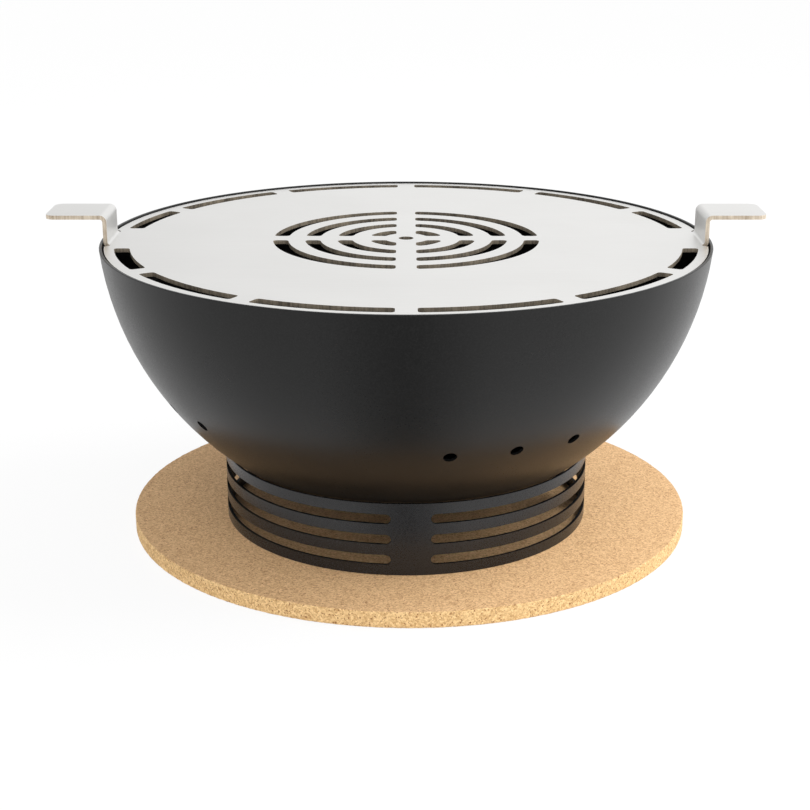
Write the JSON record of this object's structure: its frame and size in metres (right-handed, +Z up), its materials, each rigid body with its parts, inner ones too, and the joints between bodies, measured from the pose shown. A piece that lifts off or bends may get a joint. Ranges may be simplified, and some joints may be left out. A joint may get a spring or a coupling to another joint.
{
  "type": "tabletop grill",
  "caption": "Round tabletop charcoal grill: a black bowl on a slotted ring and cork mat, under a slotted steel griddle plate with bent-up handles.",
  "frame": {"origin": "on the table surface, under the axis of the bowl", "axes": "+Z up; the handles point along +X and -X; the side shown in the picture is -Y"},
  "size_m": [0.5262, 0.4554, 0.2451],
  "materials": {
    "cork": "matt agglomerated cork",
    "black_coating": "satin heat-resistant powder coat",
    "bare_steel": "bright stainless sheet with cut edges",
    "heat_blacked_steel": "matt black heat-resistant coat",
    "wire_steel": "dull drawn wire"
  },
  "bodies": {
    "mat": {"cork_mat": "cork"},
    "ring": {"base_ring": "black_coating"},
    "bowl": {"outer_bowl": "black_coating", "plate_lug_1": "black_coating", "plate_lug_2": "black_coating", "plate_lug_3": "black_coating", "plate_lug_4": "black_coating"},
    "liner": {"charcoal_bowl": "heat_blacked_steel", "liner_foot_1": "heat_blacked_steel", "liner_foot_2": "heat_blacked_steel", "liner_foot_3": "heat_blacked_steel", "foot_rivets": "heat_blacked_steel"},
    "grate": {"grate_ring": "wire_steel", "grate_bar_1": "wire_steel", "grate_bar_2": "wire_steel", "grate_bar_3": "wire_steel", "grate_bar_4": "wire_steel", "grate_bar_5": "wire_steel", "grate_bar_6": "wire_steel", "grate_bar_7": "wire_steel", "grate_bar_8": "wire_steel", "grate_bar_9": "wire_steel", "grate_bar_10": "wire_steel", "grate_bar_11": "wire_steel", "cross_bar_1": "wire_steel", "cross_bar_2": "wire_steel", "lifting_loop_1": "wire_steel", "lifting_loop_2": "wire_steel"},
    "plate": {"griddle_plate": "bare_steel"}
  },
  "joints": [
    {"name": "ring_lift", "type": "slide", "parent": "mat", "child": "ring", "axis": [0, 0, 1], "range_m": [0, 0.03]},
    {"name": "bowl_lift", "type": "slide", "parent": "ring", "child": "bowl", "axis": [0, 0, 1], "range_m": [0, 0.06]},
    {"name": "liner_lift", "type": "slide", "parent": "bowl", "child": "liner", "axis": [0, 0, 1], "range_m": [0, 0.21]},
    {"name": "grate_lift", "type": "slide", "parent": "liner", "child": "grate", "axis": [0, 0, 1], "range_m": [0, 0.14]},
    {"name": "plate_lift", "type": "slide", "parent": "grate", "child": "plate", "axis": [0, 0, 1], "range_m": [0, 0.05]}
  ]
}
